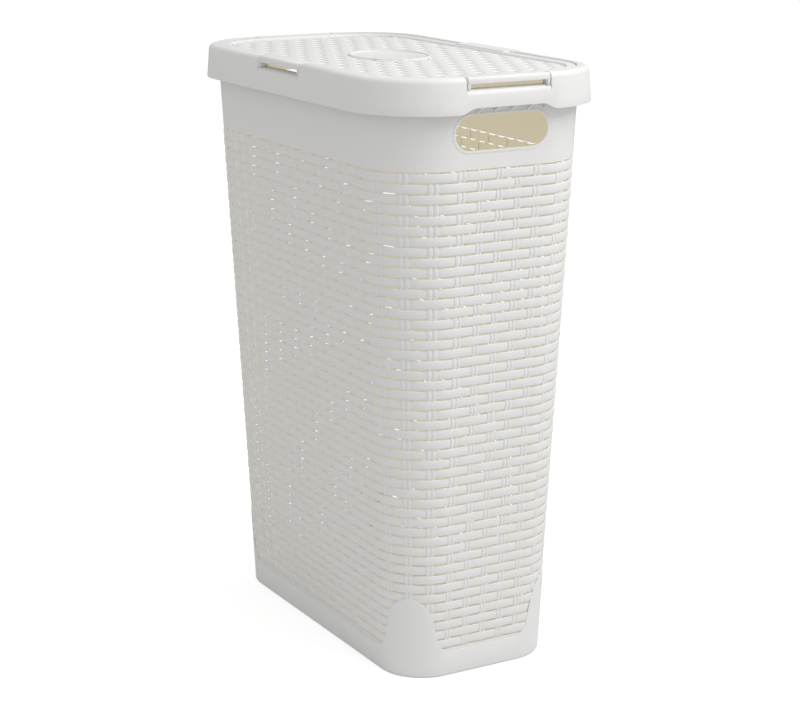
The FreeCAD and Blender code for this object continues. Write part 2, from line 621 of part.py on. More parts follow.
def make_lid_border():
    body = new_body("lid_border")
    ring = new_sketch(body, "border_plan", offset=BORDER_UNDERSIDE)
    rounded_rectangle(ring, *lid_outline())
    rounded_rectangle(ring, *lid_outline("sizes.border_width"))
    plate = pad(body, "border_plate", ring, "sizes.border_thickness")
    round_edges(
        body, "border_rounding", plate, "sizes.border_round", lambda edge: lies_level_at(edge, BORDER_TOP)
    )
    flange = new_sketch(body, "flange_plan", offset=FLANGE_FOOT)
    rounded_rectangle(flange, *lid_outline())
    rounded_rectangle(flange, *lid_outline("sizes.flange_wall"))
    pad(body, "flange_wall", flange, "sizes.flange_depth")
    breaks = new_sketch(body, "flange_breaks", offset=FLANGE_FOOT)
    half_long, half_short = "sizes.long_notch / 2", "sizes.short_notch / 2"
    inner_x, inner_y = f"{LID_EDGE_X} - 2 * sizes.flange_wall", f"{LID_EDGE_Y} - 2 * sizes.flange_wall"
    outer_x, outer_y = f"{LID_EDGE_X} + sizes.flange_wall", f"{LID_EDGE_Y} + sizes.flange_wall"
    rectangle(breaks, f"-({half_long})", half_long, inner_y, outer_y)
    rectangle(breaks, f"-({half_long})", half_long, f"-({outer_y})", f"-({inner_y})")
    rectangle(breaks, inner_x, outer_x, f"-({half_short})", half_short)
    rectangle(breaks, f"-({outer_x})", f"-({inner_x})", f"-({half_short})", half_short)
    pocket(body, "flange_openings", breaks, "sizes.flange_depth", reversed_way=True)
    return body


def make_oval_plate():
    body = new_body("lid_oval_plate")
    plan = new_sketch(body, "oval_plan", offset=PANEL_UNDERSIDE)
    oval(plan, "sizes.oval_length", "sizes.oval_width")
    pad(body, "oval_plate", plan, "sizes.panel_thickness + sizes.oval_rise")
    dish = new_sketch(body, "oval_dish", offset=f"{PANEL_TOP} + sizes.oval_rise")
    oval(dish, "sizes.oval_length - 2 * sizes.oval_rim", "sizes.oval_width - 2 * sizes.oval_rim")
    pocket(body, "oval_recess", dish, "sizes.oval_rise")
    return body


def hook_profile(sketch, face, edge, sign):
    """Section of a tab: its top lies on the border, and its front hangs down outside the rim."""
    seat = f"{sign} * ({edge} - sizes.tab_seat)"
    inside = f"{sign} * ({face} - sizes.tab_thickness)"
    outside = f"{sign} * ({face})"
    x0, x1, x2 = value(seat), value(inside), value(outside)
    z0, z1, z2 = value(TAB_FOOT), value(BORDER_TOP), value(TAB_TOP)
    corners = [(x0, z1), (x1, z1), (x1, z0), (x2, z0), (x2, z2), (x0, z2)]
    sides = [line(sketch, here, following) for here, following in zip(corners, corners[1:] + corners[:1])]
    chain(sketch, [(side, 1, 2, "Coincident") for side in sides])
    for index, side in enumerate(sides):
        sketch.addConstraint(Sketcher.Constraint("Vertical" if index % 2 else "Horizontal", side))
    bind(sketch, "DistanceX", -1, 1, sides[0], 1, to=seat)
    bind(sketch, "DistanceX", -1, 1, sides[0], 2, to=inside)
    bind(sketch, "DistanceX", -1, 1, sides[3], 1, to=outside)
    bind(sketch, "DistanceY", -1, 1, sides[0], 1, to=BORDER_TOP)
    bind(sketch, "DistanceY", -1, 1, sides[2], 1, to=TAB_FOOT)
    bind(sketch, "DistanceY", -1, 1, sides[4], 1, to=TAB_TOP)


def make_tab(name, axis, sign):
    """A hooked tab on the side of the lid that axis and sign point to. The back one carries the hinge: its two
    legs are round lugs about the pins, and the other tabs' legs reach down to their notch's ledge."""
    body = new_body(name)
    on_long_side = axis == "Y"
    face, edge = (TAB_FACE_Y, LID_EDGE_Y) if on_long_side else (TAB_FACE_X, LID_EDGE_X)
    mouth = "sizes.mouth_width / 2" if on_long_side else "sizes.mouth_length / 2"
    half = LONG_TAB_HALF if on_long_side else SHORT_TAB_HALF
    role = "YZ_Plane" if on_long_side else "XZ_Plane"
    profile = new_sketch(body, f"{name}_profile", role)
    hook_profile(profile, face, edge, sign)
    hook = pad(body, f"{name}_hook", profile, f"2 * ({half})", midplane=True)
    face_at = sign * value(face)

    def is_outer_edge(item):
        middle = item.BoundBox.Center
        across = middle.y if on_long_side else middle.x
        on_top = lies_level_at(item, TAB_TOP)
        return on_top and abs(face_at) - abs(across) < value("sizes.tab_thickness")

    round_edges(body, f"{name}_rounding", hook, "sizes.tab_round", is_outer_edge)
    for end, outer_end in (("first", half), ("second", f"sizes.leg_width - ({half})")):
        offset = outer_end if on_long_side else f"-({outer_end})"
        leg = new_sketch(body, f"{name}_{end}_leg", role, offset=offset)
        if on_long_side and sign > 0:
            circle(leg, PIN_Y, PIN_HEIGHT, f"2 * ({face} - ({PIN_Y}))")
        else:
            rectangle(leg, f"{sign} * ({mouth} - sizes.leg_inset)", f"{sign} * ({face})", LEG_FOOT, BORDER_TOP)
        pad(body, f"{name}_{end}_leg_pad", leg, "sizes.leg_width").Reversed = on_long_side
    return body


def make_hinge_pins():
    """Two stub pins that reach from the hinge tab's lugs into the bores of the notch's end walls."""
    body = new_body("hinge_pins")
    reach = "sizes.long_notch / 2 + sizes.notch_end_wall + sizes.pin_tail"
    rod = new_sketch(body, "pin_outline", "YZ_Plane")
    circle(rod, PIN_Y, PIN_HEIGHT, "sizes.pin_diameter")
    pad(body, "pin_rod", rod, f"2 * ({reach})", midplane=True)
    middle = new_sketch(body, "pin_gap_outline", "YZ_Plane")
    circle(middle, PIN_Y, PIN_HEIGHT, "2 * sizes.pin_diameter")
    pocket(body, "pin_gap", middle, f"2 * ({LONG_TAB_HALF})", midplane=True)
    return body


def make_all():
    return [
        make_tub_wall(),
        make_tub_floor(),
        make_base_band(),
        make_handle_lip("left", -1),
        make_handle_lip("right", 1),
        make_rim_collar(),
        make_rim_gussets(),
        make_lid_panel(),
        make_lid_border(),
        make_oval_plate(),
        make_tab("lid_tab_front", "Y", -1),
        make_tab("lid_tab_left", "X", -1),
        make_tab("lid_tab_right", "X", 1),
        make_tab("lid_hinge_tab", "Y", 1),
        make_hinge_pins(),
    ]


def check(objects):
    for item in doc.Objects:
        if "Invalid" in item.State or "Error" in item.State:
            raise RuntimeError(f"{item.Name} did not recompute: {item.State}")
    for item in objects:
        if item.Shape.isNull() or not item.Shape.isValid():
            raise RuntimeError(f"{item.Label} has no valid shape")


def main():
    pieces = make_all()
    doc.recompute()
    check(pieces)
    os.makedirs("parts", exist_ok=True)
    for piece in pieces:
        piece.Shape.exportStep(f"parts/{piece.Label}.step")
        box = piece.Shape.BoundBox
        print(f"{piece.Label}: {len(piece.Shape.Solids)} solids, {piece.Shape.Volume / 1000:.1f} cm3, "
              f"{box.XLength:.1f} x {box.YLength:.1f} x {box.ZLength:.1f} mm from z {box.ZMin:.1f}")


main()
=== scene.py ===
from math import atan2, ceil, cos, hypot, pi, radians, sin, sqrt, tau

import bmesh
import bpy
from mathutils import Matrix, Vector


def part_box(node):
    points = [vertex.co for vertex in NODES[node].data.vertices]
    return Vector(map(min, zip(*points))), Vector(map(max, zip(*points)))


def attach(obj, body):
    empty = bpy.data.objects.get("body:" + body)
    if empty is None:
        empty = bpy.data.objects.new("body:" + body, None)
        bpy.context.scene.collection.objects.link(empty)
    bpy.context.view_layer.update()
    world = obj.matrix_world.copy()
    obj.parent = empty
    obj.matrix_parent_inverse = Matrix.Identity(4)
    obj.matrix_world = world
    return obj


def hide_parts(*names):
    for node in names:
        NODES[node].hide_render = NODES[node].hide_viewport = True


bl_info = {
    "name": "Laundry hamper",
    "version": (1, 0, 0),
    "blender": (4, 5, 0),
    "location": "3D View > Sidebar > Hamper",
    "description": "Builds the woven walls, the lid and the finishes of a lidded laundry hamper",
    "category": "Object",
}

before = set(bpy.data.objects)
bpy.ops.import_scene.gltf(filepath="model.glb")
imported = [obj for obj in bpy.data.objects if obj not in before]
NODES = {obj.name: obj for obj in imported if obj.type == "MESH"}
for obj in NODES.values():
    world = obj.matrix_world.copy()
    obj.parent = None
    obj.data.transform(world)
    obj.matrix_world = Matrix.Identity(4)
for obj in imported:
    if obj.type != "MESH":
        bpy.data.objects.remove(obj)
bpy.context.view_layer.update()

MM = 0.001
WELD = 0.00001
SHARP_EDGE = radians(32)

# The tub's weave. Stakes are counted round the wall from the middle of the right end, rows from the top down.
STAKES = 54
STAKES_PER_QUARTER = STAKES / 4
STAKES_LEVEL_ON_END = 2
STAKES_LEVEL_ON_SIDE = 7.5
ROWS = 48
STEPS_PER_STAKE = 8
STEPS_PER_ROW = 4
STRAND_PIECES = 3
# How squarely a tub stake bends over a row, and how fast a lid strand rises beside a stake.
STAKE_FULLNESS = 4
LID_STRAND_FULLNESS = 3

# Half of a strand's section: share of its half height, and share of its thickness below its crown.
STRAND_EDGE = ((1.0, 0.62), (0.95, 0.22), (0.82, 0.04))
# The back of a strand: its lower edge hangs a little over the slit, so little shows through from inside.
STRAND_BACK = 0.9
STRAND_HEEL = 1.09
# One stake's section as two reeds: share of its half width, and share of its thickness below its crown.
REED = ((1.0, 0.62), (0.9, 0.16), (0.62, 0.0), (0.36, 0.03), (0.15, 0.32))
REED_GROOVE = 0.72
# A stake's back is wider than its face, which closes the corners that a strand leaves open.
STAKE_BACK = 1.15

# Where the key light stands, what it looks at, and its size.
KEY_PLACE = (1.0, 0.66, 1.85)
KEY_AIM = (0.1, 0, 0.5)
KEY_SIZE = 1.2

# Edges of the moulded parts, and the turn below which two faces count as one flat.
SOFT_EDGE = 0.4 * MM
SOFT_STEPS = 2
FLAT = radians(0.5)

# The front notch is narrower than the plain model's: how far each end wall moves in, and where it is found.
FRONT_NOTCH_TRIM = 6.5 * MM
FRONT_NOTCH_END = (50 * MM, 55 * MM)

# What stands above the border on the hinge tab keeps this share of its height.
HINGE_TAB_FLUSH = 0.4

# The finger tabs: how far each end reaches past the plain tab, the walls and legs, and the round outer edge.
TAB_WIDEN = 3.7 * MM
TAB_STEP = 0.15 * MM
SLOT_HEIGHT = 4.6 * MM
TAB_PLATE = 1.2 * MM
TAB_WALL = 2.4 * MM
TAB_LEG_WIDTH = 2.6 * MM
TAB_LEG_DEPTH = 9 * MM
TAB_LEG_INSET = 0.06 * MM
TAB_ROUND = 3.2 * MM
TAB_ROUND_STEPS = 5

# The handle holes and their lips.
HOLE_DROP = 1.5 * MM
LIP_SINK = 0.4 * MM
LIP_REACH = 5 * MM

# The ribs above a handle spread to this share of their plain spacing and run down the wall to the hole.
RIB_SPREAD = 1.22
RIB_DROP = 6 * MM

# The plastic's surface. Each noise is its scale, in turns per metre, and its detail.
GRAIN_NOISE = (1400, 3)
RIPPLE_NOISE = (38, 2)
BLOTCH_NOISE = (90, 4)
TONE_NOISE = (14, 3)
NOISE_SPREAD = (0.3, 0.7)
RIPPLE_DEPTH = 0.18 * MM
SMOOTHER_BY = 0.05
ROUGHER_BY = 0.08
TONE_SHARE = 0.06
LINES_PER_HALF_STRAND = 3
PLASTIC_IOR = 1.49
SHEEN = 0.04
SHEEN_ROUGHNESS = 0.5

# The painted inside shade and glow: the cosines between which a face turns inward, and the height of its fade
# at the lid.
TURN_START = 0.1
TURN_END = -0.35
INSIDE_FADE = 6 * MM

# The studio floor.
FLOOR_RADIUS = 20
FLOOR_SIDES = 96
FLOOR_ROUGHNESS = 0.9
FLOOR_SHINE = 0.1


class Outline:
    """A rounded rectangle seen from above: half length, half width and corner radius."""

    def __init__(self, half_x, half_y, corner):
        self.half_x = half_x
        self.half_y = half_y
        self.corner = corner
        self.end = half_y - corner
        self.side = half_x - corner
        self.bend = corner * pi / 2
        self.quarter = self.end + self.bend + self.side

    def between(self, other, share):
        return Outline(
            self.half_x + (other.half_x - self.half_x) * share,
            self.half_y + (other.half_y - self.half_y) * share,
            self.corner + (other.corner - self.corner) * share,
        )

    def place(self, along, outward):
        """The point a distance along the first quarter, from the middle of the right end, moved outward."""
        if along < self.end:
            return self.half_x + outward, along
        if along < self.end + self.bend:
            angle = (along - self.end) / self.corner
            reach = self.corner + outward
            return self.side + reach * cos(angle), self.end + reach * sin(angle)
        return self.side - (along - self.end - self.bend), self.half_y + outward

    def half_length_at(self, y):
        """Half the length of the outline, measured at a distance y from its long middle line."""
        past = abs(y) - self.end
        return self.half_x if past <= 0 else self.side + sqrt(max(self.corner**2 - past**2, 0))

    def half_width_at(self, x):
        """Half the width of the outline, measured at a distance x from its short middle line."""
        past = abs(x) - self.side
        return self.half_y if past <= 0 else self.end + sqrt(max(self.corner**2 - past**2, 0))


def outline_of(node, height):
    """The outside outline of a CAD node at a height, read from its corners there."""
    level = [v.co for v in NODES[node].data.vertices if abs(v.co.z - height) < WELD]
    half_x = max(co.x for co in level)
    half_y = max(co.y for co in level)
    corner = (half_x + half_y - max(co.x + co.y for co in level)) / (2 - sqrt(2))
    return Outline(half_x, half_y, corner)


TUB_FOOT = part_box("tub_wall")[0].z
TUB_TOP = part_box("tub_wall")[1].z
FOOT_OUTLINE = outline_of("tub_wall", TUB_FOOT)
MOUTH_OUTLINE = outline_of("tub_wall", TUB_TOP)
PANEL_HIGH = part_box("lid_panel")[1]
LID_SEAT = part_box("lid_panel")[0].z
PANEL_OUTLINE = outline_of("lid_panel", PANEL_HIGH.z)
OVAL_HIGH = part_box("lid_oval_plate")[1]


# ---- the sizes and colours that a user would change ----


def length(name, description, millimetres):
    return bpy.props.FloatProperty(
        name=name,
        description=description,
        default=millimetres * MM,
        unit="LENGTH",
        subtype="DISTANCE",
        precision=5,
    )


def share(name, description, default):
    return bpy.props.FloatProperty(
        name=name, description=description, default=default, min=0, max=1, subtype="FACTOR"
    )


def strength(name, description, default):
    return bpy.props.FloatProperty(name=name, description=description, default=default, min=0)


def colour(name, description, default):
    return bpy.props.FloatVectorProperty(
        name=name, description=description, default=default, min=0, max=1, size=3, subtype="COLOR"
    )


class HamperWeave(bpy.types.PropertyGroup):
    """Sizes of the woven wall of the tub."""

    top: length("Top", "Height of the slit under the plain band", 508)
    row_pitch: length("Row pitch", "Distance from one row of strands to the next", 9.96)
    slit: length("Slit", "Height of the open slit between two rows", 1.5)
    strand_thickness: length("Strand thickness", "Thickness of a strand", 1.5)
    strand_out: length("Strand out", "Crown of a strand outside the plain wall", 0.7)
    strand_in: length("Strand in", "How far a strand dives behind a stake", 1.3)
    strand_fullness: bpy.props.FloatProperty(
        name="Strand fullness", description="How fast a strand rises beside a stake", default=3, min=1, max=6
    )
    end_pitch: length("End pitch at the mouth", "Stake spacing on the short ends, at the mouth", 20.6)
    end_pitch_foot: length("End pitch at the foot", "Stake spacing on the short ends, at the foot", 19.7)
    side_pitch: length("Side pitch", "Stake spacing on the long sides", 18)
    stake_share: share("Stake width", "Half width of a stake as a share of the spacing", 0.18)
    stake_thickness: length("Stake thickness", "Thickness of a stake", 1.5)
    stake_out: length("Stake out", "Crown of a stake in front of the plain wall", 0.65)
    stake_in: length("Stake in", "How far a stake passes behind a strand", 1.1)


class HamperLid(bpy.types.PropertyGroup):
    """Sizes of the woven top of the lid."""

    strand_pitch: length("Strand pitch", "Distance from one strand to the next", 9.96)
    slit: length("Slit", "Width of the open slit between two strands", 1.0)
    stake_pitch: length("Stake pitch", "Distance from one stake to the next", 20.5)
    stake_width: length("Stake width", "Width of a stake", 7)
    relief: length("Relief", "Height of the weave, from a strand's dip to its crown", 1.7)
    thickness: length("Thickness", "Thickness of a strand or stake", 1.4)
    overlap: length("Overlap", "How far a strand runs into the border and under the oval plate", 0.8)


class HamperFinish(bpy.types.PropertyGroup):
    """Colours and surface of the moulded plastic, and the painted shade and light on faces that look into the
    tub.
    """

    white: colour("White", "Colour of the plastic", (0.89, 0.885, 0.872))
    # Painted shade: a darker, warmer tone on the faces that look into the tub, where shade falls.
    inside: colour("Inside", "Warmer tone of the faces that look into the tub", (0.80, 0.765, 0.665))
    # Painted light: an emitted glow on the same inward faces, standing in for light that reaches the inside.
    glow: colour("Glow", "Light that comes through the thin wall and shows on its inside", (1.0, 0.94, 0.77))
    glow_strength: strength("Glow strength", "Strength of the light that comes through", 0.175)
    roughness: share("Roughness", "Roughness of the satin plastic", 0.42)
    grain: length("Grain", "Depth of the moulded grain", 0.012)
    reeding: length("Reeding", "Depth of the fine lines along a strand", 0.06)


class HamperStage(bpy.types.PropertyGroup):
    """Camera and light."""

    azimuth: bpy.props.FloatProperty(
        name="Azimuth", description="Camera round the hamper", default=radians(60.26), subtype="ANGLE"
    )
    elevation: bpy.props.FloatProperty(
        name="Elevation", description="Camera above the horizon", default=radians(14.39), subtype="ANGLE"
    )
    distance: length("Distance", "Camera to the point it looks at", 2117.3)
    lens: bpy.props.FloatProperty(
        name="Lens", description="Focal length", default=91.3, unit="CAMERA", subtype="DISTANCE_CAMERA"
    )
    aim: bpy.props.FloatVectorProperty(
        name="Aim",
        description="Point the camera looks at",
        default=(4.99 * MM, 8.83 * MM, 281.66 * MM),
        unit="LENGTH",
        subtype="TRANSLATION",
    )
    floor: colour("Floor", "Colour of the floor", (0.8, 0.8, 0.8))
    floor_glow: strength("Floor glow", "Lifts the floor to white", 0.55)
    sky: strength("Sky", "Even light from all round", 0.61)
    key: strength("Key", "Power of the light above the right end", 17)


# ---- mesh helpers ----


def finish_piece(name, bm, body, materials, nodes=()):
    """Turn a bmesh into a named piece on a body, with smooth faces that break at sharp edges."""
    for face in bm.faces:
        face.smooth = True
    for edge in bm.edges:
        edge.smooth = len(edge.link_faces) == 2 and edge.calc_face_angle(0) < SHARP_EDGE
    mesh = bpy.data.meshes.new(name)
    bm.to_mesh(mesh)
    bm.free()
    for material in materials:
        mesh.materials.append(material)
    piece = bpy.data.objects.new(name, mesh)
    bpy.context.scene.collection.objects.link(piece)
    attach(piece, body)
    if nodes:
        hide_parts(*nodes)
    return piece


def copy_of(node):
    """A welded copy of a CAD node's mesh."""
    bm = bmesh.new()
    bm.from_mesh(NODES[node].data)
    bmesh.ops.remove_doubles(bm, verts=bm.verts, dist=WELD)
    return bm


def soften(bm):
    """Round every hard edge a little."""
    sharp = [edge for edge in bm.edges if len(edge.link_faces) == 2 and edge.calc_face_angle(0) > SHARP_EDGE]
    bmesh.ops.bevel(
        bm,
        geom=sharp,
        offset=SOFT_EDGE,
        segments=SOFT_STEPS,
        profile=0.5,
        affect="EDGES",
        material=-1,
        clamp_overlap=False,
    )


def soft_copy(node):
    """A welded copy of a CAD node's mesh with its hard edges rounded a little."""
    bm = copy_of(node)
    bmesh.ops.dissolve_limit(bm, angle_limit=FLAT, verts=bm.verts, edges=bm.edges)
    soften(bm)
    return bm


def cut_level(bm, height, keep_above):
    """Cut a shell at a height, keep one part and close the cut ring."""
    everything = bm.verts[:] + bm.edges[:] + bm.faces[:]
    cut = bmesh.ops.bisect_plane(
        bm,
        geom=everything,
        dist=WELD,
        plane_co=(0, 0, height),
        plane_no=(0, 0, 1),
        clear_inner=keep_above,
        clear_outer=not keep_above,
    )
    ring = [item for item in cut["geom_cut"] if isinstance(item, bmesh.types.BMEdge)]
    bmesh.ops.triangle_fill(bm, use_beauty=True, edges=ring, normal=(0, 0, -1 if keep_above else 1))


def strand_section():
    """The closed section of a strand: across from -1 to 1, and depth below the crown from 0 to 1."""
    upper = [(across, depth) for across, depth in STRAND_EDGE]
    lower = [(-across, depth) for across, depth in reversed(STRAND_EDGE)]
    return upper + [(0.0, 0.0)] + lower + [(-STRAND_HEEL, 1.0), (STRAND_BACK, 1.0)]


def stake_section():
    """The closed section of a stake: two rounded reeds with a groove between them."""
    right = list(REED)
    left = [(-across, depth) for across, depth in reversed(REED)]
    return right + [(0.0, REED_GROOVE)] + left + [(-STAKE_BACK, 1.0), (STAKE_BACK, 1.0)]


def ring_of(bm, points):
    """A closed loop of edges through a section's points."""
    corners = [bm.verts.new(point) for point in points]
    return [bm.edges.new(pair) for pair in zip(corners, corners[1:] + corners[:1])]


def mesh_of(bm):
    mesh = bpy.data.meshes.new("swept")
    bm.to_mesh(mesh)
    bm.free()
    return mesh


def straight_sweep(points, step, steps):
    """A mesh of a section swept along a straight line, with both ends closed."""
    bm = bmesh.new()
    edges = ring_of(bm, points)
    bmesh.ops.spin(bm, geom=edges, cent=(0, 0, 0), axis=(0, 0, 1), dvec=step, angle=0, steps=steps)
    bmesh.ops.holes_fill(bm, edges=[edge for edge in bm.edges if edge.is_boundary], sides=0)
    bmesh.ops.recalc_face_normals(bm, faces=bm.faces)
    return mesh_of(bm)


def round_sweep(points, steps):
    """A mesh of a section swept once round the Z axis."""
    bm = bmesh.new()
    edges = ring_of(bm, points)
    bmesh.ops.spin(bm, geom=edges, cent=(0, 0, 0), axis=(0, 0, 1), angle=tau, steps=steps, use_merge=True)
    bmesh.ops.recalc_face_normals(bm, faces=bm.faces)
    return mesh_of(bm)


def add_copy(bm, mesh):
    """Add a swept mesh to a piece. Returns the new vertices."""
    before = len(bm.verts)
    bm.from_mesh(mesh)
    bm.verts.ensure_lookup_table()
    return bm.verts[before:]


# ---- places on the tub wall ----


def tub_outline(height):
    return FOOT_OUTLINE.between(MOUTH_OUTLINE, (height - TUB_FOOT) / (TUB_TOP - TUB_FOOT))


def along_quarter(weave, stake, outline, height):
    """Distance along a quarter of the outline to a stake number. The corner takes up the wall's taper."""
    rise = (height - TUB_FOOT) / (TUB_TOP - TUB_FOOT)
    end_pitch = weave.end_pitch_foot + (weave.end_pitch - weave.end_pitch_foot) * rise
    if stake <= STAKES_LEVEL_ON_END:
        return stake * end_pitch
    first_on_side = STAKES_PER_QUARTER - STAKES_LEVEL_ON_SIDE
    side_start = outline.quarter - STAKES_LEVEL_ON_SIDE * weave.side_pitch
    if stake >= first_on_side:
        return outline.quarter - (STAKES_PER_QUARTER - stake) * weave.side_pitch
    end_finish = STAKES_LEVEL_ON_END * end_pitch
    part = (stake - STAKES_LEVEL_ON_END) / (first_on_side - STAKES_LEVEL_ON_END)
    return end_finish + (side_start - end_finish) * part


def on_tub(weave, stake, height, outward):
    """The point at a stake number and height, moved outward from the plain wall."""
    outline = tub_outline(height)
    turn, within = divmod(stake % STAKES, STAKES_PER_QUARTER)
    mirrored = turn in (1, 3)
    local = STAKES_PER_QUARTER - within if mirrored else within
    x, y = outline.place(along_quarter(weave, local, outline, height), outward)
    return Vector((x if turn in (0, 3) else -x, y if turn in (0, 1) else -y, height))


def strand_depth(weave, stake, row):
    """How far outside the wall a strand's crown is: it dives behind every second stake."""
    from_front_stake = abs((stake + row + 1) % 2 - 1)
    rise = 1 - (1 - from_front_stake) ** weave.strand_fullness
    return rise * (weave.strand_out + weave.strand_in) - weave.strand_in


def stake_depth(weave, stake, row, within):
    """How far outside the wall a stake's crown is, at a share of a row's height."""
    in_front = (stake + row) % 2 == 0
    target = weave.stake_out if in_front else -weave.stake_in
    middle = (weave.stake_out - weave.stake_in) / 2
    nearness = 1 - (2 * abs(within - 0.5)) ** STAKE_FULLNESS
    return middle + (target - middle) * nearness


# ---- materials ----


def new_group(name, inputs, outputs):
    """A shader node group with named inputs and outputs."""
    group = bpy.data.node_groups.new(name, "ShaderNodeTree")
    for label, kind, default in inputs:
        socket = group.interface.new_socket(name=label, in_out="INPUT", socket_type=kind)
        socket.default_value = default
    for label, kind in outputs:
        group.interface.new_socket(name=label, in_out="OUTPUT", socket_type=kind)
    return group, group.nodes.new("NodeGroupInput"), group.nodes.new("NodeGroupOutput")


def math_node(tree, operation, first, second):
    """A Math node. Each value is a socket or a number."""
    node = tree.nodes.new("ShaderNodeMath")
    node.operation = operation
    for index, given in enumerate((first, second)):
        if isinstance(given, bpy.types.NodeSocket):
            tree.links.new(given, node.inputs[index])
        else:
            node.inputs[index].default_value = given
    return node.outputs[0]


def noise(tree, vector, scale_and_detail):
    scale, detail = scale_and_detail
    node = tree.nodes.new("ShaderNodeTexNoise")
    node.inputs["Scale"].default_value = scale
    node.inputs["Detail"].default_value = detail
    tree.links.new(vector, node.inputs["Vector"])
    return node.outputs["Fac"]


def map_range(tree, source, low, high, to_low, to_high):
    node = tree.nodes.new("ShaderNodeMapRange")
    labels = ("Value", "From Min", "From Max", "To Min", "To Max")
    for label, given in zip(labels, (source, low, high, to_low, to_high)):
        if isinstance(given, bpy.types.NodeSocket):
            tree.links.new(given, node.inputs[label])
        else:
            node.inputs[label].default_value = given
    return node.outputs["Result"]


def mix_colour(tree, factor, first, second):
    node = tree.nodes.new("ShaderNodeMix")
    node.data_type = "RGBA"
    tree.links.new(factor, node.inputs["Factor"])
    for label, given in (("A", first), ("B", second)):
        socket = next(s for s in node.inputs if s.name == label and s.type == "RGBA")
        if isinstance(given, bpy.types.NodeSocket):
            tree.links.new(given, socket)
        else:
            socket.default_value = given
    return next(s for s in node.outputs if s.type == "RGBA")


def moulded_surface_group():
    """Fine grain, slow ripples and roughness changes of moulded polypropylene."""
    group, source, result = new_group(
        "moulded_surface",
        [
            ("Grain", "NodeSocketFloat", 0.00001),
            ("Relief", "NodeSocketFloat", 0.0),
            ("Roughness", "NodeSocketFloat", 0.4),
        ],
        [("Normal", "NodeSocketVector"), ("Roughness", "NodeSocketFloat")],
    )
    place = group.nodes.new("ShaderNodeTexCoord").outputs["Object"]
    fine = noise(group, place, GRAIN_NOISE)
    ripple = noise(group, place, RIPPLE_NOISE)
    grain = math_node(group, "MULTIPLY", fine, source.outputs["Grain"])
    swell = math_node(group, "MULTIPLY", ripple, RIPPLE_DEPTH)
    height = math_node(group, "ADD", math_node(group, "ADD", grain, swell), source.outputs["Relief"])
    bump = group.nodes.new("ShaderNodeBump")
    bump.inputs["Distance"].default_value = 1
    bump.inputs["Strength"].default_value = 1
    group.links.new(height, bump.inputs["Height"])
    group.links.new(bump.outputs["Normal"], result.inputs["Normal"])
    lower = math_node(group, "SUBTRACT", source.outputs["Roughness"], SMOOTHER_BY)
    upper = math_node(group, "ADD", source.outputs["Roughness"], ROUGHER_BY)
    blotch = noise(group, place, BLOTCH_NOISE)
    group.links.new(map_range(group, blotch, *NOISE_SPREAD, lower, upper), result.inputs["Roughness"])
    return group


def inside_shade_and_glow_group():
    """The plastic's colour: slow tone changes outside, and on faces that look inward a darker, warmer tone as
    painted shade and an emitted glow as painted light.
    """
    group, source, result = new_group(
        "inside_shade_and_glow",
        [
            ("Outward", "NodeSocketVector", (0, 0, 1)),
            ("Outside", "NodeSocketColor", (0.9, 0.9, 0.9, 1)),
            ("Inside", "NodeSocketColor", (0.8, 0.8, 0.7, 1)),
            ("Glow", "NodeSocketColor", (0, 0, 0, 1)),
        ],
        [("Color", "NodeSocketColor"), ("Glow", "NodeSocketColor")],
    )
    coordinates = group.nodes.new("ShaderNodeTexCoord")
    straight = group.nodes.new("ShaderNodeVectorMath")
    straight.operation = "NORMALIZE"
    group.links.new(source.outputs["Outward"], straight.inputs[0])
    facing = group.nodes.new("ShaderNodeVectorMath")
    facing.operation = "DOT_PRODUCT"
    group.links.new(straight.outputs["Vector"], facing.inputs[0])
    group.links.new(coordinates.outputs["Normal"], facing.inputs[1])
    place = group.nodes.new("ShaderNodeSeparateXYZ")
    group.links.new(coordinates.outputs["Object"], place.inputs["Vector"])
    # Painted shade and light are masked to faces that look inward, fading out towards the lid's seat.
    below_lid = map_range(group, place.outputs["Z"], LID_SEAT, LID_SEAT - INSIDE_FADE, 0, 1)
    turned_in = map_range(group, facing.outputs["Value"], TURN_START, TURN_END, 0, 1)
    inward = math_node(group, "MULTIPLY", turned_in, below_lid)
    slow = noise(group, coordinates.outputs["Object"], TONE_NOISE)
    tone = map_range(group, slow, *NOISE_SPREAD, 0, TONE_SHARE)
    toned = mix_colour(group, tone, source.outputs["Outside"], source.outputs["Inside"])
    # Painted shade: inward faces take the darker, warmer inside colour.
    group.links.new(mix_colour(group, inward, toned, source.outputs["Inside"]), result.inputs["Color"])
    # Painted light: inward faces emit the glow.
    dark = (0, 0, 0, 1)
    group.links.new(mix_colour(group, inward, dark, source.outputs["Glow"]), result.inputs["Glow"])
    return group


def reeding(tree, depth):
    """Fine lines along a strand, from its own attribute that runs across it."""
    attribute = tree.nodes.new("ShaderNodeAttribute")
    attribute.attribute_name = "across"
    turned = math_node(tree, "MULTIPLY", attribute.outputs["Fac"], LINES_PER_HALF_STRAND * pi)
    wave = math_node(tree, "COSINE", turned, 0)
    return math_node(tree, "MULTIPLY", wave, depth)


